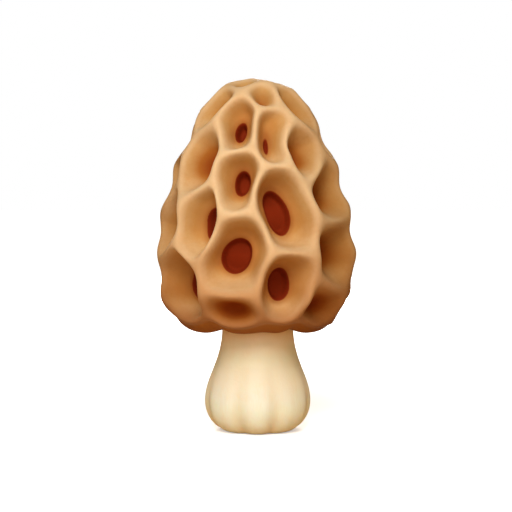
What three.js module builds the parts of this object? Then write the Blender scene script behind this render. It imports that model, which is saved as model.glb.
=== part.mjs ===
// A morel mushroom in millimetres: a honeycombed cap and the lobed stem that carries it.
// The foot stands on z = 0, +Z runs up the stem, and azimuth 0 is the front, towards -Y.
import * as THREE from 'three';
import { mergeVertices } from 'three/addons/utils/BufferGeometryUtils.js';

// Cap: a plain egg-shaped outline first, as radius and height, which the pits are then sunk into.
const capTop = 99.3;
const capShoulder = [15.9, 89.6];
const capWidest = [27.3, 48.5];
const capRim = [16.2, 28.7];

// Rim: it arches up a little in front and behind, and notches part its lobes. Each notch has an
// azimuth and a share of the full size.
const rimRidgeHeight = 31;
const rimFadeHeight = 42;
const rimArch = 0.4;
const rimNotches = [[-37, 1], [7, 0.3], [37, 1], [104, 0.8], [148, 1], [-172, 0.8], [-140, 0.9], [-104, 0.7]];
const notchWidth = 3.2;
const notchRise = 1.3;
const notchDraw = 0.9;

// Tiers: the cap swells a little at every tier of ridges and draws in between them.
const tierTop = 88;
const tierSpacing = 12.4;
const tierSwell = 0.55;
const tierLean = 0.5;
const tierFadeBelow = [30, 38];
const tierFadeAbove = [86, 96];

// Stem: a narrow neck that swells into a lobed foot, with a flat sole. It stands a hair right of the
// cap's middle.
const neckRadius = 10.2;
const bulgeRadius = 15.2;
const bulgeHeight = 8.2;
const soleRadius = 9.2;
const stemOffset = 0.5;
const grooveAzimuths = [-22, 20, 76, 124, 178, -122, -74];
const grooveWidth = 2.5;
const grooveDepth = 1.3;
const grooveReach = 23;
const grooveFade = 1.3;

// The cap sits over the stem's top like a thimble, with a hair's gap all round.
const socketRadius = 10.6;
const socketMouth = 32;
const socketCeiling = 38;
const seatGap = 0.3;

// Relief: how ridges, pit walls and throats are shaped. A pit's depth, the rounding of its ridges
// and its throat all grow with its reach. The pits along the rim are shallower.
const shareSoftness = 0.75;
const roundingPerReach = 0.25;
const leastRounding = 1.1;
const mostRounding = 1.8;
const ridgeLift = 0.8;
const swellSoftness = 0.3;
const swellDip = 0.16;
const swellLift = 0.25;
const depthPerReach = 1.5;
const deepestWall = 6.4;
const rimPitsBelow = 40;
const rimPitDepth = 0.65;
const bowlPower = 2;
const levelling = 0.45;
const leastPull = 0.2;
const throatPerReach = 0.52;
const throatDrop = 2.8;
const throatEdge = 1;
const pinprick = 0.3;

// Pits in tiers from the top down. A pit's core is a short line on the surface, and its reach is how
// far it pushes its ridges away. Each row gives azimuth and height of the core's middle, the core's half
// length and tilt, and the reach. A pit with a throat then gives the share of the core's length that
// the throat takes up, how far it lies right of the core and above it, where it isn't centred, and its
// half width per reach, where that isn't the usual one.
const pits = {
  crown: [
    [-35, 98.3, 0.8, 0, 2.0],
    [75, 98.6, 0.8, 0, 1.8],
    [160, 97.6, 0.8, 0, 2.6],
    [-120, 97.2, 0.8, 0, 2.6],
    [10, 94.2, 0.6, 0, 3.0],
  ],
  shoulder: [
    [-54, 92.0, 3.6, -25, 2.9],
    [-17, 86.4, 3.6, -8, 4.0, 0.35, -0.6, -0.4, 0.46],
    [14, 83.2, 4.4, 0, 3.4, 0.36, -0.9, -1.6, 0.28],
    [53, 92.0, 3.6, 25, 2.9],
    [101, 92.4, 2.5, 20, 3.2],
    [139, 90.0, 3.0, -10, 3.8, 0.4],
    [-176, 89.5, 3.0, 8, 3.8, 0.4],
    [-136, 89.0, 3.0, 10, 3.8, 0.4],
    [-97, 93.0, 2.5, -15, 3.2],
  ],
  upper: [
    [-44, 76.2, 4.0, -12, 4.7],
    [-13, 70.4, 2.8, -8, 5.6, 0.45, 0.2, 1.1, 0.43],
    [39, 77.9, 2.6, 15, 4.5],
    [87, 83.5, 3.0, 0, 4.2, 0.4],
    [118, 79.5, 3.4, -8, 5.0, 0.45],
    [157, 77.0, 3.4, 12, 5.0, 0.45],
    [-163, 76.0, 2.6, -20, 5.2, 0.45],
    [-122, 78.0, 3.6, 8, 5.0, 0.45],
    [-89, 83.5, 3.0, 0, 4.4, 0.4],
    [-83, 70.8, 3.0, 0, 5.1, 0.45],
  ],
  middle: [
    [-36, 60.0, 4.5, -12, 5.5, 0.4],
    [17.5, 62.8, 4.5, 18, 7.0, 0.7, 0, 0.4],
    [56, 67.0, 2.8, 10, 6.2],
    [94, 70.8, 2.2, -10, 5.4, 0.45],
    [94, 58.6, 1.6, 20, 5.2, 0.4],
    [129, 63.0, 3.2, 16, 6.6, 0.5],
    [175, 60.0, 4.0, -12, 6.6, 0.5],
    [-146, 60.0, 3.2, 16, 6.0, 0.5],
    [-107, 64.0, 3.6, -8, 6.0, 0.45],
    [-71, 60.2, 3.2, 0, 5.3, 0.45],
  ],
  lower: [
    [-12, 51.2, 2.5, -30, 8.2, 0.45, -1.1, -0.4],
    [19.0, 42.7, 3.0, 0, 6.5, 0.5, -0.2, -0.5],
    [57, 51.5, 2.5, 0, 7.2],
    [100, 46.6, 2.4, 0, 6.2, 0.5],
    [132, 46.0, 3.2, -16, 6.6, 0.5],
    [165, 42.5, 3.0, 6, 6.8, 0.5],
    [-162, 43.5, 3.2, -10, 6.6, 0.5],
    [-128, 45.5, 3.4, 14, 6.6, 0.5],
    [-99, 47.0, 3.0, -8, 6.4, 0.5],
    [-54.5, 41.8, 3.0, 0, 7.0, 0.5],
  ],
  rim: [
    [-16, 35.0, 1.4, 90, 5.2],
    [49, 36.0, 1.5, 60, 6.2],
    [84, 35.5, 1.2, 90, 5.2],
    [114, 34.0, 1.2, 90, 4.8],
    [148, 33.5, 1.2, 90, 4.6],
    [-178, 33.5, 1.2, 90, 4.6],
    [-144, 33.5, 1.2, 90, 4.8],
    [-110, 34.5, 1.2, 90, 5.0],
  ],
};

// Facet sizes. Rings lie closer together than that by the height of an even-sided triangle.
const capFacet = 1.5;
const undersideFacet = 3;
const undersideRings = 4;
const stemFacet = 2.4;
const ringPerFacet = Math.sqrt(3) / 2;
const snapReach = 0.42 * capFacet;
const mostStepsAhead = 0.8;

const flesh = {
  cap: new THREE.MeshStandardMaterial({ color: 0xc8935a, roughness: 0.62, metalness: 0 }),
  stem: new THREE.MeshStandardMaterial({ color: 0xf0dfb5, roughness: 0.55, metalness: 0 }),
};

// Outlines run from the top down, with radius as x and height as y.
const capOutside = outline([
  [[0, capTop], [7.8, capTop], [11.8, 96.6], capShoulder],
  [capShoulder, [19.9, 82.5], [capWidest[0], 66.5], capWidest],
  [capWidest, [capWidest[0], 33], [20, capRim[1]], capRim],
]);
const capUnderside = outline([
  [capRim, [14.2, capRim[1]], [11.4, 29.5], [socketRadius, socketMouth]],
]);
const stemSide = outline([
  [[neckRadius, 29], [neckRadius + 0.1, 19.5], [bulgeRadius, 15], [bulgeRadius, bulgeHeight]],
  [[bulgeRadius, bulgeHeight], [bulgeRadius, 4], [12.6, 0.3], [soleRadius, 0]],
]);

function outline(bends) {
  const path = new THREE.CurvePath();
  for (const corners of bends) {
    path.add(new THREE.CubicBezierCurve(...corners.map((corner) => new THREE.Vector2(...corner))));
  }
  return path;
}

function atAzimuth(azimuth, radius, height) {
  return new THREE.Vector3(radius * Math.sin(azimuth), -radius * Math.cos(azimuth), height);
}

// The way along the cap's outside from the apex down to a height, found by halving.
function wayToHeight(height) {
  let low = 0;
  let high = 1;
  while (high - low > 1e-6) {
    const middle = (low + high) / 2;
    if (capOutside.getPointAt(middle).y > height) {
      low = middle;
    } else {
      high = middle;
    }
  }
  return low * capOutside.getLength();
}

function spotAt(way) {
  return capOutside.getPointAt(way / capOutside.getLength());
}

function outwardAt(way) {
  const tangent = capOutside.getTangentAt(way / capOutside.getLength());
  return new THREE.Vector2(-tangent.y, tangent.x);
}

// A core runs down the surface, turned by its tilt: a positive tilt takes its lower end to the right.
// A pit bores along the surface's normal, tipped towards level. Its throat is an oval round the core,
// and a pit without one narrows to a pinprick.
function placePit(row) {
  const [azimuthDegrees, height, halfLength, tiltDegrees, reach] = row;
  const [share, right = 0, above = 0, widthPerReach = throatPerReach] = row.slice(5);
  const azimuth = THREE.MathUtils.degToRad(azimuthDegrees);
  const tilt = THREE.MathUtils.degToRad(tiltDegrees);
  const way = wayToHeight(height);
  const radius = spotAt(way).x;
  const outward = outwardAt(way);
  const onCap = (run, across, up) => {
    const spot = spotAt(way - up + run * Math.cos(tilt));
    return atAzimuth(azimuth + (across + run * Math.sin(tilt)) / radius, spot.x, spot.y);
  };
  const hasThroat = share !== undefined;
  const halfWidth = hasThroat ? widthPerReach * reach : pinprick;
  return {
    reach,
    hasThroat,
    core: new THREE.Line3(onCap(-halfLength, 0, 0), onCap(halfLength, 0, 0)),
    oval: {
      centre: onCap(0, right, above),
      axis: onCap(1, right, above).sub(onCap(-1, right, above)).normalize(),
      halfWidth,
      halfLength: hasThroat ? halfWidth + share * halfLength : pinprick,
    },
    depth: Math.min(depthPerReach * reach, deepestWall) * (height < rimPitsBelow ? rimPitDepth : 1),
    bore: atAzimuth(azimuth, outward.x, outward.y * (1 - levelling)),
  };
}

// How far inside an oval a point lies: 0 on its edge, and below 0 outside it.
function insideOval(point, { centre, axis, halfWidth, halfLength }) {
  const offset = point.clone().sub(centre);
  const lengthwise = offset.dot(axis);
  const across = Math.sqrt(Math.max(offset.lengthSq() - lengthwise ** 2, 0));
  return halfWidth * (1 - Math.hypot(lengthwise / halfLength, across / halfWidth));
}

// Each pit's share of a point falls off with its lead: the distance to its core less its reach.
function sharesOf(leads, softness) {
  const nearest = Math.min(...leads);
  const weights = leads.map((lead) => Math.exp(-softness * (lead - nearest)));
  const total = weights.reduce((sum, weight) => sum + weight, 0);
  return weights.map((weight) => weight / total);
}

// Contrast is 1 well inside a pit, 0 on the ridge between two and below 0 where three meet.
function contrastOf(shares) {
  return 2 * shares.reduce((sum, share) => sum + share * share, 0) - 1;
}

// Distance from the ridge line, rounded over so that the crest is smooth.
function crestDistance(contrast, rounding) {
  const root = Math.sqrt(Math.min(Math.abs(contrast), 1 - 1e-12));
  const angle = contrast > 0 ? Math.atanh(root) : Math.atan(root);
  const squared = Math.sign(contrast) * (angle / shareSoftness) ** 2;
  return Math.sqrt(Math.max(squared, -ridgeLift * rounding ** 2) + rounding ** 2) - rounding;
}

const placedPits = Object.values(pits).flat().map(placePit);
const rimRidgeWay = wayToHeight(rimRidgeHeight);

// Moves a point that lies close beside a ridge line onto it, so that facets meet along the crest.
function snapToRidge(point) {
  const onCore = placedPits.map((pit) => pit.core.closestPointToPoint(point, true, new THREE.Vector3()));
  const leads = placedPits.map((pit, i) => onCore[i].distanceTo(point) - pit.reach);
  const [first, second] = leads.map((_, i) => i).sort((i, j) => leads[i] - leads[j]);
  const toRidge = (leads[second] - leads[first]) / 2;
  if (toRidge > snapReach) {
    return point;
  }
  const awayFrom = (i) => point.clone().sub(onCore[i]).normalize();
  const across = awayFrom(second).sub(awayFrom(first)).divideScalar(2);
  return point.clone().addScaledVector(across, -toRidge / across.lengthSq());
}

// Moves a point of the plain cap down into its pit. The underside counts as one more cell, of no depth.
function sinkPoint(point, outward, way) {
  const nearest = new THREE.Vector3();
  const distanceTo = (line) => line.closestPointToPoint(point, true, nearest).distanceTo(point);
  const pitLeads = placedPits.map((pit) => distanceTo(pit.core) - pit.reach);
  const leads = [...pitLeads, rimRidgeWay - way];
  const shares = sharesOf(leads, shareSoftness);
  const underShare = shares.at(-1);
  const pitShare = 1 - underShare;
  const direction = outward.clone().multiplyScalar(leastPull + underShare);
  let [reach, run, depth] = [0, underShare, 0];
  placedPits.forEach((pit, i) => {
    reach += shares[i] * pit.reach / pitShare;
    run += shares[i] * Math.max(-insideOval(point, pit.oval), 0);
    depth += shares[i] * pit.depth;
    direction.addScaledVector(pit.bore, shares[i]);
  });
  const rounding = THREE.MathUtils.clamp(roundingPerReach * reach, leastRounding, mostRounding);
  const crest = crestDistance(contrastOf(shares), rounding);
  const slide = THREE.MathUtils.clamp(crest / (crest + run), 0, 1);
  const swell = contrastOf(sharesOf(leads, swellSoftness));
  let sunk = crest < 0 ? crest : depth * (1 - (1 - slide) ** bowlPower);
  sunk += pitShare * swell * reach * (swell > 0 ? swellDip : swellLift);
  const owner = placedPits[pitLeads.indexOf(Math.min(...pitLeads))];
  if (owner.hasThroat) {
    sunk += pitShare * throatDrop * THREE.MathUtils.smoothstep(insideOval(point, owner.oval), 0, throatEdge);
  }
  return point.clone().addScaledVector(direction.normalize(), -sunk);
}

// A tier's swelling leans a little up and down round the cap, and fades at the crown and the rim.
function tierAt(azimuth, height) {
  const fadeBelow = THREE.MathUtils.smoothstep(height, ...tierFadeBelow);
  const fadeAbove = 1 - THREE.MathUtils.smoothstep(height, ...tierFadeAbove);
  const turn = 2 * Math.PI * (height - tierTop) / tierSpacing + tierLean * Math.sin(2 * azimuth);
  return tierSwell * fadeBelow * fadeAbove * Math.cos(turn);
}

// A bell curve of the way round from an azimuth given in degrees.
function bellAt(azimuth, degrees, radius, width) {
  const away = azimuth - THREE.MathUtils.degToRad(degrees);
  const turn = Math.atan2(Math.sin(away), Math.cos(away));
  return Math.exp(-((turn * radius / width) ** 2));
}

// Places a point of the plain cap. The rim's arch and notches fade up the cap and in towards the
// stem, where the rings close round the stem's own axis.
function placeOnCap(azimuth, radius, height) {
  const offStem = THREE.MathUtils.smoothstep(radius, socketRadius, capRim[0]);
  const nearRim = offStem * (1 - THREE.MathUtils.smoothstep(height, rimRidgeHeight - 1, rimFadeHeight));
  const bells = rimNotches.map(([degrees, size]) => size * bellAt(azimuth, degrees, capRim[0], notchWidth));
  const notch = nearRim * bells.reduce((sum, bell) => sum + bell, 0);
  const rise = notchRise * notch + rimArch * nearRim * Math.cos(2 * azimuth);
  const point = atAzimuth(azimuth, radius - notchDraw * notch, height + rise);
  if (height <= socketCeiling) {
    point.x += stemOffset * (1 - offStem);
  }
  return point;
}

// Grooves between the stem's lobes are bell curves round the foot that fade out up the neck.
function grooveAt(azimuth, height) {
  const fade = THREE.MathUtils.clamp(1 - height / grooveReach, 0, 1) ** grooveFade;
  const bells = grooveAzimuths.map((degrees) => bellAt(azimuth, degrees, bulgeRadius, grooveWidth));
  return grooveDepth * fade * bells.reduce((sum, bell) => sum + bell, 0);
}

// A ring of points round the axis, one facet apart. Every other ring is turned by half a facet.
function ringOf(radius, facet, turned, makePoint) {
  const columns = Math.max(6, Math.round(2 * Math.PI * radius / facet));
  const step = 2 * Math.PI / columns;
  return Array.from({ length: columns }, (_, i) => makePoint((i + turned / 2) * step - Math.PI));
}

// Two neighbouring rings are joined by walking round both, each time across the shorter diagonal, so
// that edges run along ridges rather than over them. Neither walk may lead by as much as a facet.
function bandBetween(upper, lower, corners) {
  const faces = [];
  const [upperSteps, lowerSteps] = [upper, lower].map((row) => (row.count > 1 ? row.count : 0));
  let [i, j] = [0, 0];
  while (i < upperSteps || j < lowerSteps) {
    const [a, b] = [upper.first + i % upper.count, lower.first + j % lower.count];
    const [c, d] = [upper.first + (i + 1) % upper.count, lower.first + (j + 1) % lower.count];
    const lead = (i + upper.turned / 2) / upper.count - (j + lower.turned / 2) / lower.count;
    const upperIsShorter = corners[b].distanceTo(corners[c]) < corners[a].distanceTo(corners[d]);
    const mostLead = mostStepsAhead / Math.max(upper.count, lower.count);
    const stepUpper = Math.abs(lead) < mostLead ? upperIsShorter : lead < 0;
    if (j === lowerSteps || (stepUpper && i < upperSteps)) {
      faces.push(a, b, c);
      i += 1;
    } else {
      faces.push(a, b, d);
      j += 1;
    }
  }
  return faces;
}

// Rings of points, from the top down, become one closed skin; a single point closes it on the axis.
function closedSkin(rings) {
  let first = 0;
  const rows = rings.map((ring, i) => {
    const row = { first, count: ring.length, turned: i % 2 };
    first += ring.length;
    return row;
  });
  const corners = rings.flat();
  const geometry = new THREE.BufferGeometry().setFromPoints(corners);
  geometry.setIndex(rows.slice(1).flatMap((lower, i) => bandBetween(rows[i], lower, corners)));
  return mergeVertices(geometry);
}

function makeCap() {
  const length = capOutside.getLength();
  const outerRings = Math.round(length / (capFacet * ringPerFacet));
  const rings = [[sinkPoint(new THREE.Vector3(0, 0, capTop), new THREE.Vector3(0, 0, 1), 0)]];
  while (rings.length <= outerRings) {
    const way = length * rings.length / outerRings;
    const spot = spotAt(way);
    const outward = outwardAt(way);
    rings.push(ringOf(spot.x, capFacet, rings.length % 2, (azimuth) => {
      const point = placeOnCap(azimuth, spot.x + tierAt(azimuth, spot.y), spot.y);
      return sinkPoint(snapToRidge(point), atAzimuth(azimuth, outward.x, outward.y), way);
    }));
  }
  const undersideSpots = capUnderside.getSpacedPoints(undersideRings).slice(1);
  for (const { x, y } of [...undersideSpots, new THREE.Vector2(socketRadius, socketCeiling)]) {
    rings.push(ringOf(x, undersideFacet, rings.length % 2, (azimuth) => placeOnCap(azimuth, x, y)));
  }
  rings.push([new THREE.Vector3(stemOffset, 0, socketCeiling)]);
  return closedSkin(rings);
}

function makeStem() {
  const stemTop = socketCeiling - seatGap;
  const sideRings = Math.round(stemSide.getLength() / (stemFacet * ringPerFacet));
  const sideSpots = [new THREE.Vector2(neckRadius, stemTop), ...stemSide.getSpacedPoints(sideRings)];
  const rings = [[new THREE.Vector3(0, 0, stemTop)]];
  for (const { x, y } of sideSpots) {
    rings.push(ringOf(x, stemFacet, rings.length % 2, (azimuth) => {
      return atAzimuth(azimuth, x * (1 - grooveAt(azimuth, y) / bulgeRadius), y);
    }));
  }
  rings.push([new THREE.Vector3(0, 0, 0)]);
  return closedSkin(rings).translate(stemOffset, 0, 0);
}

const morel = new THREE.Group();
for (const [name, geometry] of [['cap', makeCap()], ['stem', makeStem()]]) {
  const piece = new THREE.Mesh(geometry, flesh[name]);
  piece.name = name;
  morel.add(piece);
}

export default morel;
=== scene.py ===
import math
import bpy
import numpy as np
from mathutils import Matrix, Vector


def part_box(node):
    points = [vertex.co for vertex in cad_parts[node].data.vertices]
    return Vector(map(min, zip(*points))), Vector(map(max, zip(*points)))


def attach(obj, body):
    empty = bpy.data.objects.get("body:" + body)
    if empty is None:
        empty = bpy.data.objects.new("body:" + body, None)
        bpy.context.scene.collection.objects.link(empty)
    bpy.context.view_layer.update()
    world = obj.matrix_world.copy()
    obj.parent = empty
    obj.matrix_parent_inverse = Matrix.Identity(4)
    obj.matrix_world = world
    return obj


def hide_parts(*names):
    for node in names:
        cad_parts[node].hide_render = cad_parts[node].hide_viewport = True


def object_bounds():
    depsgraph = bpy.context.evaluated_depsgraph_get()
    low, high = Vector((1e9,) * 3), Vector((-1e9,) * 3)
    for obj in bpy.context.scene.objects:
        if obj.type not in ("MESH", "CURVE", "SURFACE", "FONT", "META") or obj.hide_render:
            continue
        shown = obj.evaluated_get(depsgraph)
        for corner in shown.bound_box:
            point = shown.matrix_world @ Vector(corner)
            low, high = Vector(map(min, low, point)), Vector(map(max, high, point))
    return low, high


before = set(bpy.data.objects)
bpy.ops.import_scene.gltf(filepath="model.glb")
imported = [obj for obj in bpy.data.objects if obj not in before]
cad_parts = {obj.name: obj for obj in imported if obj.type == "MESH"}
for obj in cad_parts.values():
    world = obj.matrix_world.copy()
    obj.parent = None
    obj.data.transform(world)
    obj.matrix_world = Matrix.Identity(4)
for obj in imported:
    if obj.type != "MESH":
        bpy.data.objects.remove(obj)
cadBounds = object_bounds()
print("frame loaded:", ", ".join(sorted(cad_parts)))

mm = 0.001
tiny = 1e-9  # keeps a division from meeting nought
almostOne = 1 - 1e-12  # keeps a ratio below one
farFromThroat = -9.0  # what a point with no throat nearby is marked with, in millimetres


# A cubic Bezier curve: the four corners weighed by (1-t)^3, 3(1-t)^2 t, 3(1-t) t^2 and t^3.
def bend(corners, count=400):
    t = np.linspace(0, 1, count)[:, None]
    start, pull, draw, end = np.array(corners, float)
    return (1 - t) ** 3 * start + 3 * (1 - t) ** 2 * t * pull + 3 * (1 - t) * t ** 2 * draw + t ** 3 * end


# Bends joined end to end, with the length run along them up to each point.
def outline(bends):
    curves = [bend(corners) for corners in bends]
    points = np.vstack([curves[0]] + [curve[1:] for curve in curves[1:]])
    steps = np.linalg.norm(np.diff(points, axis=0), axis=1)
    return {"points": points, "lengths": np.concatenate([[0], np.cumsum(steps)])}


# Radius and height at a length along an outline, read off between its nearest points.
def along(line, ways):
    reads = [np.interp(ways, line["lengths"], line["points"][:, i]) for i in (0, 1)]
    return np.stack(reads, axis=-1)


# The outward normal of an outline: the direction of travel turned a quarter turn.
def outwardAt(line, ways, hair=0.05):
    ahead = along(line, ways + hair) - along(line, ways - hair)
    ahead /= np.linalg.norm(ahead, axis=-1, keepdims=True)
    return np.stack([-ahead[..., 1], ahead[..., 0]], axis=-1)


# The length along an outline that runs down to a height.
def wayToHeight(line, height):
    return float(np.interp(-height, -line["points"][:, 1], line["lengths"]))


# Azimuth 0 faces -Y and grows towards +X: x = r sin(a), y = -r cos(a).
def atAzimuth(azimuth, radius, height):
    return np.stack([radius * np.sin(azimuth), -radius * np.cos(azimuth), height + 0 * azimuth], axis=-1)


# The way round from an azimuth given in degrees, between half a turn left and half a turn right.
def turnFrom(azimuth, degrees):
    away = azimuth - np.radians(degrees)[:, None]
    return np.arctan2(np.sin(away), np.cos(away))


# Smooth step from 0 at low to 1 at high: t t (3 - 2t).
def easeBetween(value, low, high):
    t = np.clip((value - low) / (high - low), 0, 1)
    return t * t * (3 - 2 * t)


# Cap, in millimetres and degrees. Each bend is start, pull, draw and end of a Bezier curve.
cap = {
    "outside": [
        [(0, 99.3), (7.8, 99.3), (11.8, 96.6), (15.9, 89.6)],
        [(15.9, 89.6), (19.9, 82.5), (27.3, 66.5), (27.3, 48.5)],
        [(27.3, 48.5), (27.3, 33.0), (20.0, 28.7), (16.2, 28.7)]],
    "underside": [[(16.2, 28.7), (14.2, 28.7), (11.4, 29.5), (10.25, 32)]],
    # The cap swells a little at every tier of pits.
    "tierTop": 88.0,
    "tierSpacing": 12.4,
    "tierSwell": 0.55,
    "tierLean": 0.5,
    "tierFadeBelow": (30, 38),
    "tierFadeAbove": (86, 96),
    # The rim arches, and notches of an azimuth and a share of the full size part its lobes.
    "rimRidge": 31.0,
    "rimFadeHeights": (30.0, 42.0),
    "rimFadeRadius": 16.0,
    "rimArch": 0.4,
    "rimNotches": [(-37, 1), (7, 0.3), (37, 1), (104, 0.8), (148, 1), (-172, 0.8), (-140, 0.9), (-104, 0.7)],
    "notchWidth": 3.2,
    "notchRise": 1.3,
    "notchDraw": 0.9,
    # The socket for the stem, which stands a hair to the right.
    "stemOffset": 0.5,
    "socketRadius": 10.25,
    "socketCeiling": 38.0,
    # Ridges: how sharply pits part, and how round and high the crest between them is.
    "shareSoftness": 0.75,
    "roundingPerReach": 0.25,
    "leastRounding": 1.1,
    "mostRounding": 1.8,
    "ridgeLift": 0.8,
    "swellSoftness": 0.3,
    "swellDip": 0.16,
    "swellLift": 0.25,
    # Walls and throats: they grow with a pit's reach, and pits along the rim are shallower.
    "depthPerReach": 1.5,
    "deepestWall": 6.4,
    "rimPitsBelow": 40.0,
    "rimPitDepth": 0.65,
    "bowlPower": 2.0,
    "levelling": 0.45,
    "leastPull": 0.2,
    "throatPerReach": 0.52,
    "throatDrop": 2.8,
    "throatEdge": 1.0,
    "pinprick": 0.3,
    # Marks for the flesh: from what reach on a pit without a throat is fully darkened by painted shade, and
    # how fast that comes.
    "closedReach": 4.75,
    "closedPower": 3,
    # Front and back are painted lighter than the sides, as painted shade on the sides: how far round (in
    # radians) that painted light leans, how much of it the crown gets, and the least painted shade that pits
    # without a throat keep at the sides.
    "lightLean": 0.2,
    "crownLight": 0.6,
    "hollowShadeLeast": 0.4,
    "columns": 440,
    "outerRings": 190,
    "undersideRings": 14,
    "socketRings": 4,
    # A pit's core is a short line on the cap, and its reach is how far it pushes its ridges away. Columns
    # are azimuth, height, core half length, core tilt and reach. A pit with a throat also gives how much
    # of the core's length the throat takes up, and may give how far it lies right of the core and above
    # it, and its half width per reach.
    "pits": {
        "crown": [
            (-35, 98.3, 0.8, 0, 2.0),
            (75, 98.6, 0.8, 0, 1.8),
            (160, 97.6, 0.8, 0, 2.6),
            (-120, 97.2, 0.8, 0, 2.6),
            (10, 94.2, 0.6, 0, 3.0)],
        "shoulder": [
            (-54, 92.0, 3.6, -25, 2.9),
            (-17, 86.4, 3.6, -8, 4.0, 0.35, -0.6, -0.4, 0.46),
            (14, 83.2, 4.4, 0, 3.4, 0.36, -0.9, -1.6, 0.28),
            (53, 92.0, 3.6, 25, 2.9),
            (101, 92.4, 2.5, 20, 3.2),
            (139, 90.0, 3.0, -10, 3.8, 0.4),
            (-176, 89.5, 3.0, 8, 3.8, 0.4),
            (-136, 89.0, 3.0, 10, 3.8, 0.4),
            (-97, 93.0, 2.5, -15, 3.2)],
        "upper": [
            (-44, 76.2, 4.0, -12, 4.7),
            (-13, 70.4, 2.8, -8, 5.6, 0.45, 0.2, 1.1, 0.43),
            (39, 77.9, 2.6, 15, 4.5),
            (87, 83.5, 3.0, 0, 4.2, 0.4),
            (118, 79.5, 3.4, -8, 5.0, 0.45),
            (157, 77.0, 3.4, 12, 5.0, 0.45),
            (-163, 76.0, 2.6, -20, 5.2, 0.45),
            (-122, 78.0, 3.6, 8, 5.0, 0.45),
            (-89, 83.5, 3.0, 0, 4.4, 0.4),
            (-83, 70.8, 3.0, 0, 5.1, 0.45)],
        "middle": [
            (-36, 60.0, 4.5, -12, 5.5, 0.4),
            (17.5, 62.8, 4.5, 18, 7.0, 0.7, 0, 0.4),
            (56, 67.0, 2.8, 10, 6.2),
            (94, 70.8, 2.2, -10, 5.4, 0.45),
            (94, 58.6, 1.6, 20, 5.2, 0.4),
            (129, 63.0, 3.2, 16, 6.6, 0.5),
            (175, 60.0, 4.0, -12, 6.6, 0.5),
            (-146, 60.0, 3.2, 16, 6.0, 0.5),
            (-107, 64.0, 3.6, -8, 6.0, 0.45),
            (-71, 60.2, 3.2, 0, 5.3, 0.45)],
        "lower": [
            (-12, 51.2, 2.5, -30, 8.2, 0.45, -1.1, -0.4),
            (19.0, 42.7, 3.0, 0, 6.5, 0.5, -0.2, -0.5),
            (57, 51.5, 2.5, 0, 7.2),
            (100, 46.6, 2.4, 0, 6.2, 0.5),
            (132, 46.0, 3.2, -16, 6.6, 0.5),
            (165, 42.5, 3.0, 6, 6.8, 0.5),
            (-162, 43.5, 3.2, -10, 6.6, 0.5),
            (-128, 45.5, 3.4, 14, 6.6, 0.5),
            (-99, 47.0, 3.0, -8, 6.4, 0.5),
            (-54.5, 41.8, 3.0, 0, 7.0, 0.5)],
        "rim": [
            (-16, 35.0, 1.4, 90, 5.2),
            (49, 36.0, 1.5, 60, 6.2),
            (84, 35.5, 1.2, 90, 5.2),
            (114, 34.0, 1.2, 90, 4.8),
            (148, 33.5, 1.2, 90, 4.6),
            (-178, 33.5, 1.2, 90, 4.6),
            (-144, 33.5, 1.2, 90, 4.8),
            (-110, 34.5, 1.2, 90, 5.0)],
    },
}


# Distance to a straight core: what is left of the offset once its part along the core is taken off.
def distanceToCore(points, ends):
    span = ends[1] - ends[0]
    share = np.clip((points - ends[0]) @ span / (span @ span), 0, 1)
    return np.linalg.norm(points - ends[0] - share[:, None] * span, axis=1)


# How far inside an oval a point lies: half width times (1 - sqrt((along/length)^2 + (across/width)^2)).
def insideOval(points, oval):
    offset = points - oval["centre"]
    lengthwise = offset @ oval["axis"]
    across = np.sqrt(np.clip((offset ** 2).sum(1) - lengthwise ** 2, 0, None))
    return oval["halfWidth"] * (1 - np.hypot(lengthwise / oval["halfLength"], across / oval["halfWidth"]))


# Puts a row of the table on the cap. The core runs down the surface, turned by its tilt. The pit bores
# along the surface's normal, tipped towards level, and its throat is an oval round the core.
def placePit(outside, row):
    (degrees, height, half, tiltDegrees, reach), throat = row[:5], row[5:]
    usual = (0, 0, 0, cap["throatPerReach"])
    share, right, above, widthPerReach = throat + usual[len(throat):]
    azimuth, tilt = np.radians(degrees), np.radians(tiltDegrees)
    way = wayToHeight(outside, height)
    spot, outward = along(outside, way), outwardAt(outside, way)

    def onCap(run, right=0, above=0):
        radius, z = along(outside, way - above + run * np.cos(tilt))
        return atAzimuth(azimuth + (right + run * np.sin(tilt)) / spot[0], radius, z)

    halfWidth = widthPerReach * reach if throat else cap["pinprick"]
    shallowness = cap["rimPitDepth"] if height < cap["rimPitsBelow"] else 1
    axis = onCap(1, right, above) - onCap(-1, right, above)
    return {
        "core": (onCap(-half), onCap(half)),
        "reach": reach,
        "hasThroat": bool(throat),
        "oval": {
            "centre": onCap(0, right, above),
            "axis": axis / np.linalg.norm(axis),
            "halfWidth": halfWidth,
            "halfLength": halfWidth + share * half},
        "middle": height,
        "halfHeight": half + reach,
        "depth": min(cap["depthPerReach"] * reach, cap["deepestWall"]) * shallowness,
        "bore": atAzimuth(azimuth, outward[0], outward[1] * (1 - cap["levelling"])),
    }


# Each pit's share of a point is exp(-softness * lead), over the sum of them all.
def sharesOf(leads, softness):
    weights = np.exp(-softness * (leads - leads.min(0)))
    return weights / weights.sum(0)


# 1 well inside a pit, 0 on the ridge between two, below 0 where three meet: 2 sum(share^2) - 1.
def contrastOf(shares):
    return 2 * (shares ** 2).sum(0) - 1


# Distance d from the ridge line: atanh(sqrt(contrast)) over the softness inside a pit, and atan where
# ridges meet. The crest is then rounded over: sqrt(d^2 + rounding^2) - rounding.
def crestDistance(contrast, rounding):
    root = np.sqrt(np.clip(np.abs(contrast), 0, almostOne))
    angle = np.where(contrast > 0, np.arctanh(root), np.arctan(root))
    squared = np.sign(contrast) * (angle / cap["shareSoftness"]) ** 2
    return np.sqrt(np.clip(squared, -cap["ridgeLift"] * rounding ** 2, None) + rounding ** 2) - rounding
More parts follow.
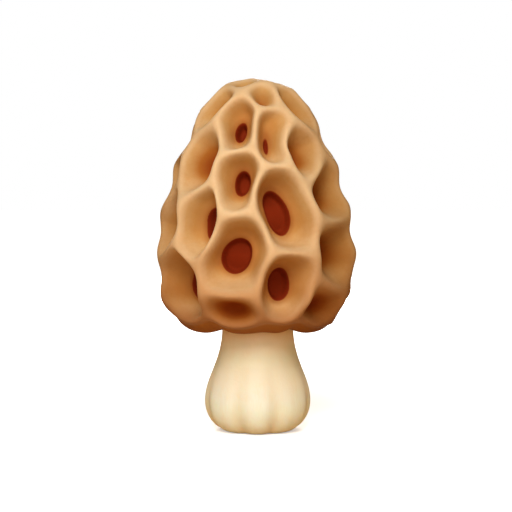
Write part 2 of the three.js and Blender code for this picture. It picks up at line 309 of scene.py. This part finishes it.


# Moves the points of the plain cap down into their pits. A point's depth runs from the ridge, along a
# bowl 1 - (1 - slide)^2, to the full depth at the throat, and the throat drops a step further. The
# underside counts as one more pit, of no depth. Each point also gets the marks that the flesh reads:
# slide (how far down the wall it lies), crest (distance from the ridge), throat (how far inside one),
# hollow shade (how far down a pit without a throat, for painted shade there) and below (how far under the
# middle of its pit, for painted light on the ledges below pit middles).
def sinkPits(outside, points, outward, ways):
    placed = [placePit(outside, row) for tier in cap["pits"].values() for row in tier]

    def column(key):
        return np.array([pit[key] for pit in placed])[:, None]

    cores = np.array([distanceToCore(points, pit["core"]) for pit in placed])
    ovals = np.array([insideOval(points, pit["oval"]) for pit in placed])
    leads = np.vstack([cores - column("reach"), wayToHeight(outside, cap["rimRidge"]) - ways])
    shares = sharesOf(leads, cap["shareSoftness"])
    inPits, under = shares[:-1], shares[-1]
    reach = (inPits * column("reach")).sum(0) / np.clip(1 - under, tiny, None)
    rounding = np.clip(cap["roundingPerReach"] * reach, cap["leastRounding"], cap["mostRounding"])
    crest = crestDistance(contrastOf(shares), rounding)
    run = under + (inPits * np.clip(-ovals, 0, None)).sum(0)
    slide = np.clip(crest / (crest + run + tiny), 0, 1)
    bowl = (inPits * column("depth")).sum(0) * (1 - (1 - slide) ** cap["bowlPower"])
    sunk = np.where(crest < 0, crest, bowl)
    swell = contrastOf(sharesOf(leads, cap["swellSoftness"]))
    sunk += (1 - under) * swell * reach * np.where(swell > 0, cap["swellDip"], cap["swellLift"])
    owner = leads[:-1].argmin(0)
    inside = np.where(column("hasThroat")[owner, 0], ovals[owner, np.arange(len(points))], farFromThroat)
    sunk += (1 - under) * cap["throatDrop"] * easeBetween(inside, 0, cap["throatEdge"])
    bore = inPits.T @ np.array([pit["bore"] for pit in placed])
    direction = outward * (cap["leastPull"] + under)[:, None] + bore
    direction /= np.linalg.norm(direction, axis=1)[:, None]
    closed = ~column("hasThroat") * np.clip(column("reach") / cap["closedReach"], 0, 1) ** cap["closedPower"]
    below = np.clip((column("middle") - points[:, 2]) / column("halfHeight"), 0, 1)
    marks = {"slide": slide, "crest": crest, "throat": inside, "hollow": slide * (inPits * closed).sum(0),
             "below": (inPits * below).sum(0)}
    return points - direction * sunk[:, None], marks


# Tiers: a cosine of the height that leans a little round the cap and fades at crown and rim.
def tierAt(azimuth, height):
    fade = easeBetween(height, *cap["tierFadeBelow"]) * (1 - easeBetween(height, *cap["tierFadeAbove"]))
    turn = 2 * np.pi * (height - cap["tierTop"]) / cap["tierSpacing"]
    return cap["tierSwell"] * fade * np.cos(turn + cap["tierLean"] * np.sin(2 * azimuth))


# The rim arches up a little in front and behind, by cos(2a), and bell-shaped notches part its lobes.
# Both fade up the cap and in towards the stem, where the rings close round the stem's own axis.
def shapeRim(azimuth, radius, height):
    offStem = easeBetween(radius, cap["socketRadius"], cap["rimFadeRadius"])
    nearRim = offStem * (1 - easeBetween(height, *cap["rimFadeHeights"]))
    places, sizes = np.array(cap["rimNotches"]).T
    away = turnFrom(azimuth, places) * cap["outside"][-1][-1][0]
    notch = nearRim * (sizes[:, None] * np.exp(-(away / cap["notchWidth"]) ** 2)).sum(0)
    rise = cap["notchRise"] * notch + cap["rimArch"] * nearRim * np.cos(2 * azimuth)
    points = atAzimuth(azimuth, radius - cap["notchDraw"] * notch, height + rise)
    points[:, 0] += np.where(height <= cap["socketCeiling"], cap["stemOffset"] * (1 - offStem), 0)
    return points


# Every ring of the cap, from just under the apex, round the rim and up into the socket. One more mark,
# sunned, is the cosine of the azimuth on a steep wall and a fixed share on the level crown, by which the
# flesh darkens the sides as painted shade.
def capRings():
    outside, underside = outline(cap["outside"]), outline(cap["underside"])
    azimuths = np.linspace(-np.pi, np.pi, cap["columns"], endpoint=False)
    ways = np.linspace(0, outside["lengths"][-1], cap["outerRings"] + 1)[1:]
    azimuth, way = (grid.ravel() for grid in np.meshgrid(azimuths, ways))
    spot, outward = along(outside, way), outwardAt(outside, way)
    plain = shapeRim(azimuth, spot[:, 0] + tierAt(azimuth, spot[:, 1]), spot[:, 1])
    upper, marks = sinkPits(outside, plain, atAzimuth(azimuth, outward[:, 0], outward[:, 1]), way)
    level = 1 - np.clip(outward[:, 1], 0, 1)
    marks["sunned"] = level * np.abs(np.cos(azimuth + cap["lightLean"])) + cap["crownLight"] * (1 - level)
    marks["hollow"] *= cap["hollowShadeLeast"] + (1 - cap["hollowShadeLeast"]) * marks["sunned"]
    mouth, ceiling, rings = underside["points"][-1], cap["socketCeiling"], cap["socketRings"]
    lower = np.vstack([
        along(underside, np.linspace(0, underside["lengths"][-1], cap["undersideRings"] + 1)[1:]),
        np.linspace(mouth, (mouth[0], ceiling), rings + 1)[1:],
        np.linspace((mouth[0], ceiling), (0, ceiling), rings + 1)[1:-1]])
    azimuth, row = (grid.ravel() for grid in np.meshgrid(azimuths, np.arange(len(lower))))
    under = shapeRim(azimuth, *lower[row].T)
    top = np.array([[0, 0, outside["points"][0, 1]]])
    apex, apexMarks = sinkPits(outside, top, np.array([[0, 0, 1.0]]), np.zeros(1))
    apexMarks["sunned"] = [cap["crownLight"]]
    plainMarks = {"crest": 1.0, "throat": farFromThroat}
    plain = {key: np.full(len(under) + 1, plainMarks.get(key, 0.0)) for key in marks}
    marks = {key: np.concatenate([apexMarks[key], marks[key], plain[key]]) for key in marks}
    return np.vstack([apex, upper, under, [[cap["stemOffset"], 0, ceiling]]]), marks


# Stem, in millimetres and degrees. The side runs from the neck down to the sole.
stem = {
    "side": [
        [(10.2, 29), (10.3, 19.5), (15.2, 15), (15.2, 8.2)],
        [(15.2, 8.2), (15.2, 4), (12.6, 0.3), (9.2, 0)]],
    "top": 37.7,
    "bulge": 15.2,
    "grooves": (-22, 20, 76, 124, 178, -122, -74),
    "grooveWidth": 2.5,
    "grooveDepth": 1.3,
    "grooveReach": 23.0,
    "grooveFade": 1.3,
    "lightLean": 0.25,  # as the cap's
    "columns": 300,
    "topRings": 2,
    "neckRings": 5,
    "sideRings": 120,
    "soleRings": 8,
}


# Grooves between the stem's lobes: bell curves exp(-(distance / width)^2) that fade up the neck.
def grooveAt(azimuth, height):
    fade = np.clip(1 - height / stem["grooveReach"], 0, 1) ** stem["grooveFade"]
    away = turnFrom(azimuth, stem["grooves"]) * stem["bulge"]
    return fade * np.exp(-(away / stem["grooveWidth"]) ** 2).sum(0)


# Every ring of the stem, from the middle of its hidden top, down the side and in across the sole.
def stemRings():
    side, top = outline(stem["side"]), stem["top"]
    neck, sole = side["points"][0], side["points"][-1]
    profile = np.vstack([
        np.linspace((neck[0] / 2, top), (neck[0], top), stem["topRings"]),
        np.linspace((neck[0], top), neck, stem["neckRings"] + 1)[1:-1],
        along(side, np.linspace(0, side["lengths"][-1], stem["sideRings"])),
        np.linspace(sole, (0, 0), stem["soleRings"] + 1)[1:-1]])
    azimuths = np.linspace(-np.pi, np.pi, stem["columns"], endpoint=False)
    azimuth, row = (grid.ravel() for grid in np.meshgrid(azimuths, np.arange(len(profile))))
    radius, height = profile[row].T
    groove = grooveAt(azimuth, height)
    ring = atAzimuth(azimuth, radius * (1 - stem["grooveDepth"] * groove / stem["bulge"]), height)
    points = np.vstack([[[0, 0, top]], ring, [[0, 0, 0]]])
    points[:, 0] += cap["stemOffset"]
    sunned = np.abs(np.cos(azimuth + stem["lightLean"]))
    marks = {"groove": np.concatenate([[0], groove, [0]]), "sunned": np.concatenate([[1], sunned, [1]])}
    return points, marks


# Quads between neighbouring rings, closed round the axis, and a fan of triangles at either end.
def ringFaces(pointCount, columns):
    rows = (pointCount - 2) // columns
    here = 1 + np.arange(rows * columns).reshape(rows, columns)
    right = np.roll(here, -1, axis=1)
    quads = np.stack([here[:-1], here[1:], right[1:], right[:-1]], axis=-1).reshape(-1, 4)
    topFan = np.stack([np.zeros(columns, int), here[0], right[0]], axis=-1)
    endFan = np.stack([here[-1], np.full(columns, pointCount - 1), right[-1]], axis=-1)
    return quads.tolist() + topFan.tolist() + endFan.tolist()


# Moves and scales points so that their own box becomes the CAD node's box, axis by axis.
def fitToNode(points, node):
    low, high = (np.array(corner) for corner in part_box(node))
    ownLow, ownHigh = points.min(0), points.max(0)
    return low + (points - ownLow) * (high - low) / (ownHigh - ownLow)


# Makes a piece from rings of points, keeps their marks as attributes, and puts it in a node's place.
def addPiece(name, node, slot, points, marks, columns, material):
    mesh = bpy.data.meshes.new(name)
    mesh.from_pydata(fitToNode(points * mm, node).tolist(), [], ringFaces(len(points), columns))
    for key, values in marks.items():
        layer = mesh.attributes.new(key, "FLOAT", "POINT")
        layer.data.foreach_set("value", values.astype(np.float32))
    mesh.polygons.foreach_set("use_smooth", np.ones(len(mesh.polygons), bool))
    mesh.materials.append(material)
    mesh.update()
    piece = bpy.data.objects.new(name, mesh)
    bpy.context.scene.collection.objects.link(piece)
    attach(piece, "root")
    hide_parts(node)
    print(name, "made:", len(mesh.vertices), "points")


# Turns a six-digit colour, as a painter writes it, into linear light.
def paint(code):
    levels = np.array([int(code[i:i + 2], 16) for i in (0, 2, 4)]) / 255
    linear = np.where(levels <= 0.04045, levels / 12.92, ((levels + 0.055) / 1.055) ** 2.4)
    return (*linear.tolist(), 1)


# Starts a node group. An input is a name, a kind and the value it has at first, where it has one.
def startGroup(name, inputs, outputs):
    group = bpy.data.node_groups.new(name, "ShaderNodeTree")
    for socket, kind, value in inputs:
        made = group.interface.new_socket(socket, in_out="INPUT", socket_type=kind)
        if value is not None:
            made.default_value = value
    for socket, kind in outputs:
        group.interface.new_socket(socket, in_out="OUTPUT", socket_type=kind)
    return group, group.nodes.new("NodeGroupInput"), group.nodes.new("NodeGroupOutput")


# Adds a node with its settings, and with values set on its sockets.
def addNode(tree, kind, settings=None, values=None):
    made = tree.nodes.new(kind)
    for key, value in (settings or {}).items():
        setattr(made, key, value)
    for key, value in (values or {}).items():
        made.inputs[key].default_value = value
    return made


# Works a sum on two values, each a socket or a number.
def mathNode(tree, operation, first, second):
    made = addNode(tree, "ShaderNodeMath", {"operation": operation})
    for socket, source in zip(made.inputs, (first, second)):
        if isinstance(source, (int, float)):
            socket.default_value = source
        else:
            tree.links.new(source, socket)
    return made.outputs[0]


# Maps a value from one range on to another, held inside it.
def rangeNode(tree, source, low, high, toLow=0.0, toHigh=1.0, smooth=False):
    made = addNode(tree, "ShaderNodeMapRange", {"interpolation_type": "SMOOTHSTEP" if smooth else "LINEAR"},
                   {"From Min": low, "From Max": high, "To Min": toLow, "To Max": toHigh})
    tree.links.new(source, made.inputs["Value"])
    return made.outputs["Result"]


# Mixes two colours by a factor. Either colour may be a socket or a painter's code. On a Mix node the
# colours are inputs 6 and 7, and output 2.
def mixNode(tree, factor, first, second, blend="MIX"):
    made = addNode(tree, "ShaderNodeMix", {"data_type": "RGBA", "blend_type": blend})
    sockets = [made.inputs[0], made.inputs[6], made.inputs[7]]
    for socket, source in zip(sockets, (factor, first, second)):
        if isinstance(source, str):
            socket.default_value = paint(source)
        elif isinstance(source, (int, float)):
            socket.default_value = source
        else:
            tree.links.new(source, socket)
    return made.outputs[2]


# Turns a value into a colour by a ramp of places and painter's codes.
def rampNode(tree, source, stops):
    made = addNode(tree, "ShaderNodeValToRGB")
    ramp = made.color_ramp
    while len(ramp.elements) < len(stops):
        ramp.elements.new(0.5)
    for element, (place, code) in zip(ramp.elements, stops):
        element.position = place
        element.color = paint(code)
    tree.links.new(source, made.inputs["Fac"])
    return made.outputs["Color"]


# Blends two values by a third. On a Mix node the values are inputs 0, 2 and 3, and output 0.
def blendValues(tree, share, first, second):
    made = addNode(tree, "ShaderNodeMix", {"data_type": "FLOAT"})
    for place, source in ((0, share), (2, first), (3, second)):
        tree.links.new(source, made.inputs[place])
    return made.outputs[0]


# Patterns: how much finer the fine noise is than the broad, the part of the noise's spread that is
# stretched to the full range, and how wide a pore is within its cell.
pattern = {
    "fineness": 6.0,
    "spread": (0.32, 0.68),
    "poreWidth": 0.35,
}


# Mottling: two sizes of soft noise, put together and stretched to reach from 0 to 1.
def makeMottle():
    group, given, out = startGroup(
        "mottle",
        [("Vector", "NodeSocketVector", None), ("Scale", "NodeSocketFloat", 200.0),
         ("Fine Share", "NodeSocketFloat", 0.35)],
        [("Mask", "NodeSocketFloat")])
    broad = addNode(group, "ShaderNodeTexNoise", values={"Detail": 3.0, "Roughness": 0.5})
    fine = addNode(group, "ShaderNodeTexNoise", values={"Detail": 4.0, "Roughness": 0.6})
    for noise in (broad, fine):
        group.links.new(given.outputs["Vector"], noise.inputs["Vector"])
    group.links.new(given.outputs["Scale"], broad.inputs["Scale"])
    fineScale = mathNode(group, "MULTIPLY", given.outputs["Scale"], pattern["fineness"])
    group.links.new(fineScale, fine.inputs["Scale"])
    mixed = blendValues(group, given.outputs["Fine Share"], broad.outputs["Fac"], fine.outputs["Fac"])
    group.links.new(rangeNode(group, mixed, *pattern["spread"]), out.inputs["Mask"])
    return group


# Skin grain: fine noise with small round pores pressed into it, as a height from 0 to 1.
def makeGrain():
    group, given, out = startGroup(
        "skinGrain",
        [("Vector", "NodeSocketVector", None), ("Scale", "NodeSocketFloat", 1500.0),
         ("Pores", "NodeSocketFloat", 0.4)],
        [("Height", "NodeSocketFloat")])
    fuzz = addNode(group, "ShaderNodeTexNoise", values={"Detail": 5.0, "Roughness": 0.62})
    pore = addNode(group, "ShaderNodeTexVoronoi", {"feature": "F1"})
    for texture in (fuzz, pore):
        group.links.new(given.outputs["Vector"], texture.inputs["Vector"])
        group.links.new(given.outputs["Scale"], texture.inputs["Scale"])
    dimple = rangeNode(group, pore.outputs["Distance"], 0.0, pattern["poreWidth"], smooth=True)
    mixed = blendValues(group, given.outputs["Pores"], fuzz.outputs["Fac"], dimple)
    group.links.new(mixed, out.inputs["Height"])
    return group


# Puts a pattern into a material with its own values.
def placeGroup(tree, group, vector, values):
    made = addNode(tree, "ShaderNodeGroup", {"node_tree": group}, values)
    tree.links.new(vector, made.inputs["Vector"])
    return made.outputs[0]


# A material to build on: its nodes and shader, the place on the object, and the height above the floor.
def startMaterial(name):
    material = bpy.data.materials.new(name)
    material.use_nodes = True
    tree = material.node_tree
    place = addNode(tree, "ShaderNodeTexCoord").outputs["Object"]
    parts = addNode(tree, "ShaderNodeSeparateXYZ")
    tree.links.new(place, parts.inputs[0])
    return material, tree, tree.nodes["Principled BSDF"], place, parts.outputs["Z"]


# Sets what is the same all over on the shader itself.
def setShader(shader, values):
    for socket, value in values.items():
        shader.inputs[socket].default_value = value


# Presses a fine height into the shader's normal.
def addBump(tree, shader, height, values):
    bump = addNode(tree, "ShaderNodeBump", values=values)
    tree.links.new(height, bump.inputs["Height"])
    tree.links.new(bump.outputs["Normal"], shader.inputs["Normal"])


# Reads one of the marks that the surface carries.
def attribute(tree, name):
    return addNode(tree, "ShaderNodeAttribute", {"attribute_name": name}).outputs["Fac"]


# Cap flesh: light tan ridges, browner walls the deeper they go, and dark red-brown throats as painted shade.
# A pit without a throat is painted darker towards its middle as painted shade, and the rim is painted darker
# towards the bottom as painted shade. Heights are in metres, a slide runs from 0 at a crest to 1 at a throat,
# and the crest and throat marks are millimetres.
capFlesh = {
    "walls": [(0.0, "d0aa7a"), (0.14, "c89f68"), (0.40, "be8c4e"), (0.72, "b47d42"), (1.0, "a26a34")],
    "wallShift": 0.05,
    "crestHighlight": "dcbe95",
    "crestHighlightMost": 0.7,
    "crestHighlightWidth": 0.8,
    "blotch": "b9773d",
    "blotchFrom": 0.35,
    "blotchMost": 0.16,
    # The ledge below a pit's middle faces up and is painted lighter, as painted light: the share of its slide
    # and of its hollow shade that still counts, and where and how far it stays free of the rim's painted
    # shade.
    "ledgeFrom": (0.1, 0.7),
    "ledgeWalls": 0.15,
    "ledgeHollowShade": 0.5,
    "ledgeShadeFree": 0.75,
    "ledgeShadeFreeHeight": (0.0315, 0.039),
    "ledgeShadeFreeSlide": (0.0, 0.12),
    "rimShade": [(0.0, "7e4009"), (0.12, "94531a"), (0.3, "ac6d33"), (0.6, "b67a3e")],
    "rimShadeTop": 0.068,
    "rimShadeFull": 0.028,
    "rimShadeMost": 0.85,
    "shade": "c5ad84",
    "shadeFrom": (0.95, 0.1),
    "shadeMost": 0.85,
    "hollow": [(0.0, "ffffff"), (0.5, "dab486"), (1.0, "c3865a")],
    "hollowShadeFull": 0.6,
    "throatRim": "8c4718",
    "throatRimFrom": (-1.4, 0.0),
    "throatRimMost": 0.42,
    "throat": "74220a",
    "throatFrom": (-0.08, 0.12),
    "mottle": {"Scale": 170.0, "Fine Share": 0.4},
    "grain": {"Scale": 1700.0, "Pores": 0.35},
    "roughness": (0.56, 0.8),  # on the ridges and at the throats
    "bump": {"Strength": 0.5, "Distance": 0.00009},
    "shader": {
        "Specular IOR Level": 0.08,
        "Specular Tint": (1.0, 0.7, 0.4, 1.0),
        "Subsurface Weight": 0.12,
        "Subsurface Radius": (1.0, 0.5, 0.25),
        "Subsurface Scale": 0.0012},
}


# The walls' colour comes from how far down they lie. Over it go the painted highlight on the crest, the
# blotches, the rim's painted shade, the painted shade of the sides, the painted shade in pits without a
# throat, and the throats themselves, painted dark as shade.
def makeCapFlesh(mottle, grain):
    material, tree, shader, place, height = startMaterial("capFlesh")
    slide, crest, throat = (attribute(tree, key) for key in ("slide", "crest", "throat"))
    blotches = placeGroup(tree, mottle, place, capFlesh["mottle"])
    below = rangeNode(tree, attribute(tree, "below"), *capFlesh["ledgeFrom"], smooth=True)

    shift = capFlesh["wallShift"]
    # Below a pit's middle the walls keep less of their darkening: painted light on walls that face up.
    ledgeSlide = mathNode(tree, "MULTIPLY", slide, rangeNode(tree, below, 0, 1, 1, capFlesh["ledgeWalls"]))
    shifted = mathNode(tree, "ADD", ledgeSlide, rangeNode(tree, blotches, 0, 1, -shift, shift))
    colour = rampNode(tree, shifted, capFlesh["walls"])
    # A paler line along each crest: a painted highlight.
    crestHighlightMask = rangeNode(tree, crest, 0, capFlesh["crestHighlightWidth"], capFlesh["crestHighlightMost"], 0, smooth=True)
    colour = mixNode(tree, crestHighlightMask, colour, capFlesh["crestHighlight"])
    blotchMask = rangeNode(tree, blotches, capFlesh["blotchFrom"], 1, 0, capFlesh["blotchMost"])
    colour = mixNode(tree, blotchMask, colour, capFlesh["blotch"])

    # The rim is painted darker towards the bottom, as painted shade, kept off the lower ledges of the pits
    # near the rim.
    top, full = capFlesh["rimShadeTop"], capFlesh["rimShadeFull"]
    rimShadeMask = rangeNode(tree, height, top, full, 0, capFlesh["rimShadeMost"], smooth=True)
    shadeFree = rangeNode(tree, height, *capFlesh["ledgeShadeFreeHeight"], 0, capFlesh["ledgeShadeFree"], smooth=True)
    shadeFree = mathNode(tree, "MULTIPLY", shadeFree, rangeNode(tree, slide, *capFlesh["ledgeShadeFreeSlide"]))
    shadeFree = mathNode(tree, "MULTIPLY", below, shadeFree)
    rimShadeMask = mathNode(tree, "MULTIPLY", rimShadeMask, rangeNode(tree, shadeFree, 0, 1, 1, 0))
    lowness = rangeNode(tree, height, full, top)
    colour = mixNode(tree, rimShadeMask, colour, rampNode(tree, lowness, capFlesh["rimShade"]))

    # The sides are painted darker than front and back: painted shade.
    sunned = attribute(tree, "sunned")
    shade = rangeNode(tree, sunned, *capFlesh["shadeFrom"], 0, capFlesh["shadeMost"], smooth=True)
    colour = mixNode(tree, shade, colour, capFlesh["shade"], "MULTIPLY")
    # Pits without a throat are painted darker towards their middles, as painted shade, less so on their
    # ledges.
    hollow = rangeNode(tree, attribute(tree, "hollow"), 0, capFlesh["hollowShadeFull"], smooth=True)
    hollow = mathNode(tree, "MULTIPLY", hollow, rangeNode(tree, below, 0, 1, 1, capFlesh["ledgeHollowShade"]))
    colour = mixNode(tree, 1.0, colour, rampNode(tree, hollow, capFlesh["hollow"]), "MULTIPLY")
    throatRim = rangeNode(tree, throat, *capFlesh["throatRimFrom"], 0, capFlesh["throatRimMost"], smooth=True)
    colour = mixNode(tree, throatRim, colour, capFlesh["throatRim"])
    # The throats are painted dark red-brown: painted shade deep in the pits.
    colour = mixNode(tree, rangeNode(tree, throat, *capFlesh["throatFrom"]), colour, capFlesh["throat"])

    tree.links.new(colour, shader.inputs["Base Color"])
    roughness = rangeNode(tree, slide, 0, 1, *capFlesh["roughness"])
    tree.links.new(roughness, shader.inputs["Roughness"])
    addBump(tree, shader, placeGroup(tree, grain, place, capFlesh["grain"]), capFlesh["bump"])
    setShader(shader, capFlesh["shader"])
    return material


# Stem flesh: cream, browner under the cap as painted shade from the cap and browner in the grooves as painted
# shade, with faint upright fibres. The colours run from the sole to the top, which is a height in metres.
stemFlesh = {
    "upright": [(0.0, "f3eeca"), (0.12, "f2efd3"), (0.25, "ecedd6"), (0.35, "e9e7d4"), (0.5, "e6dcc3"),
                (0.66, "ddd0b0"), (0.76, "e2d5b1"), (0.88, "f4dfb8"), (1.0, "e8c08c")],
    "top": 0.0285,
    "groove": "e0cb9a",
    "grooveShadeMost": 0.6,
    "blotch": "e6cb9a",
    "blotchFrom": 0.4,
    "blotchMost": 0.25,
    "shade": "fffaee",
    "shadeFrom": (0.95, 0.3),
    "fibres": {"Scale": 420.0, "Fine Share": 0.5},
    "fibreStretch": (1.0, 1.0, 0.16),
    "grain": {"Scale": 1400.0, "Pores": 0.2},
    "roughness": (0.46, 0.6),
    "bump": {"Strength": 0.45, "Distance": 0.00007},
    "shader": {
        "Specular IOR Level": 0.3,
        "Subsurface Weight": 0.35,
        "Subsurface Radius": (1.0, 0.6, 0.35),
        "Subsurface Scale": 0.004},
}


# The colour runs up the stem. Over it go the painted shade in the grooves, the fibres and the painted shade
# of the sides.
def makeStemFlesh(mottle, grain):
    material, tree, shader, place, height = startMaterial("stemFlesh")
    # The ramp turns browner near the top: painted shade under the cap.
    colour = rampNode(tree, rangeNode(tree, height, 0, stemFlesh["top"]), stemFlesh["upright"])
    stretch = addNode(tree, "ShaderNodeMapping", values={"Scale": stemFlesh["fibreStretch"]})
    tree.links.new(place, stretch.inputs["Vector"])
    fibres = placeGroup(tree, mottle, stretch.outputs[0], stemFlesh["fibres"])
    # The grooves are painted browner: painted shade in the creases.
    grooveShadeMask = rangeNode(tree, attribute(tree, "groove"), 0, 1, 0, stemFlesh["grooveShadeMost"])
    colour = mixNode(tree, grooveShadeMask, colour, stemFlesh["groove"])
    blotchMask = rangeNode(tree, fibres, stemFlesh["blotchFrom"], 1, 0, stemFlesh["blotchMost"])
    colour = mixNode(tree, blotchMask, colour, stemFlesh["blotch"])
    # The stem's sides are painted darker than front and back: painted shade.
    shade = rangeNode(tree, attribute(tree, "sunned"), *stemFlesh["shadeFrom"], smooth=True)
    colour = mixNode(tree, shade, colour, stemFlesh["shade"], "MULTIPLY")
    tree.links.new(colour, shader.inputs["Base Color"])
    roughness = rangeNode(tree, fibres, 0, 1, *stemFlesh["roughness"])
    tree.links.new(roughness, shader.inputs["Roughness"])
    grainHeight = placeGroup(tree, grain, place, stemFlesh["grain"])
    addBump(tree, shader, mathNode(tree, "ADD", grainHeight, fibres), stemFlesh["bump"])
    setShader(shader, stemFlesh["shader"])
    return material


# Studio, in metres and watts: a pale floor in white surroundings, a soft key lamp from in front and
# above, and weaker lamps low in front and behind. The lens and sensor are in millimetres and the
# elevation is in degrees. The margin is the frame's width over the object's height, and the camera looks
# a hair below the object's middle.
studio = {
    "floorReach": 3.0,
    "floorSeen": "fbfaf8",
    "floorBounce": "cfae86",
    "floorGlow": 0.42,
    "floorWhiteFrom": (0.04, 0.20),
    "floorShader": {"Emission Color": (1, 1, 1, 1), "Roughness": 0.9, "Specular IOR Level": 0.1},
    "surroundings": 0.27,
    "surroundingsTint": "ffe2b4",
    "lamps": {
        "key": {"place": (-0.06, -0.58, 0.50), "size": 0.30, "power": 4.45},
        "front": {"place": (-0.03, -0.75, 0.10), "size": 0.3, "power": 1.5},
        "back": {"place": (0.0, 0.62, 0.20), "size": 0.25, "power": 3.4}},
    "lens": 100.0,
    "sensor": 36.0,
    "elevation": 3.0,
    "margin": 1.4585,
    "lookDown": 0.00043,
}


# The floor shows as a pale ground that glows towards white away from the object, and it throws a warmer
# and weaker light back on the object than it looks.
def makeFloor():
    reach = studio["floorReach"]
    mesh = bpy.data.meshes.new("floor")
    corners = [(-reach, -reach, 0), (reach, -reach, 0), (reach, reach, 0), (-reach, reach, 0)]
    mesh.from_pydata(corners, [], [(0, 1, 2, 3)])
    material, tree, shader, place, _ = startMaterial("paleFloor")
    seen = tree.nodes.new("ShaderNodeLightPath").outputs["Is Camera Ray"]
    colour = mixNode(tree, seen, studio["floorBounce"], studio["floorSeen"])
    tree.links.new(colour, shader.inputs["Base Color"])
    away = addNode(tree, "ShaderNodeVectorMath", {"operation": "LENGTH"})
    tree.links.new(place, away.inputs[0])
    farOff = away.outputs["Value"]
    glow = rangeNode(tree, farOff, *studio["floorWhiteFrom"], studio["floorGlow"], 1, smooth=True)
    tree.links.new(mathNode(tree, "MULTIPLY", seen, glow), shader.inputs["Emission Strength"])
    setShader(shader, studio["floorShader"])
    mesh.materials.append(material)
    floor = bpy.data.objects.new("floor", mesh)
    bpy.context.scene.collection.objects.link(floor)


# The surroundings show as plain white, and light the object more weakly than they look, as the floor does.
def makeWorld():
    world = bpy.data.worlds.new("surroundings")
    world.use_nodes = True
    tree = world.node_tree
    background = tree.nodes["Background"]
    seen = tree.nodes.new("ShaderNodeLightPath").outputs["Is Camera Ray"]
    tree.links.new(mixNode(tree, seen, studio["surroundingsTint"], "ffffff"), background.inputs["Color"])
    tree.links.new(rangeNode(tree, seen, 0, 1, studio["surroundings"], 1.0), background.inputs["Strength"])
    bpy.context.scene.world = world


# Puts a lamp or camera in its place and turns its -Z axis towards a target.
def aim(thing, place, target):
    thing.location = place
    thing.rotation_euler = (Vector(target) - Vector(place)).to_track_quat("-Z", "Y").to_euler()


# Adds a square lamp that looks at a target.
def addLamp(name, lamp, target):
    light = bpy.data.lights.new(name, "AREA")
    light.size = lamp["size"]
    light.energy = lamp["power"]
    holder = bpy.data.objects.new(name, light)
    bpy.context.scene.collection.objects.link(holder)
    aim(holder, lamp["place"], target)


# The camera stands back until the frame is as wide as the object's height times the margin.
def addCamera(middle, height):
    data = bpy.data.cameras.new("camera")
    data.lens = studio["lens"]
    data.sensor_width = studio["sensor"]
    camera = bpy.data.objects.new("camera", data)
    bpy.context.scene.collection.objects.link(camera)
    back = height * studio["margin"] * studio["lens"] / studio["sensor"]
    rise = math.radians(studio["elevation"])
    target = Vector(middle) - Vector((0, 0, studio["lookDown"]))
    aim(camera, target + back * Vector((0, -math.cos(rise), math.sin(rise))), target)
    bpy.context.scene.camera = camera


mottleGroup, grainGroup = makeMottle(), makeGrain()
capMaterial = makeCapFlesh(mottleGroup, grainGroup)
stemMaterial = makeStemFlesh(mottleGroup, grainGroup)
print("flesh mixed:", capMaterial.name, stemMaterial.name)

addPiece("capSkin", "cap", "cap_flesh", *capRings(), cap["columns"], capMaterial)
addPiece("stemSkin", "stem", "stem_flesh", *stemRings(), stem["columns"], stemMaterial)

low, high = cadBounds
middle = (0, 0, (low.z + high.z) / 2)
makeFloor()
makeWorld()
for name, lamp in studio["lamps"].items():
    addLamp(name, lamp, middle)
addCamera(middle, high.z - low.z)
bpy.context.scene.view_settings.view_transform = "Standard"
print("studio ready")
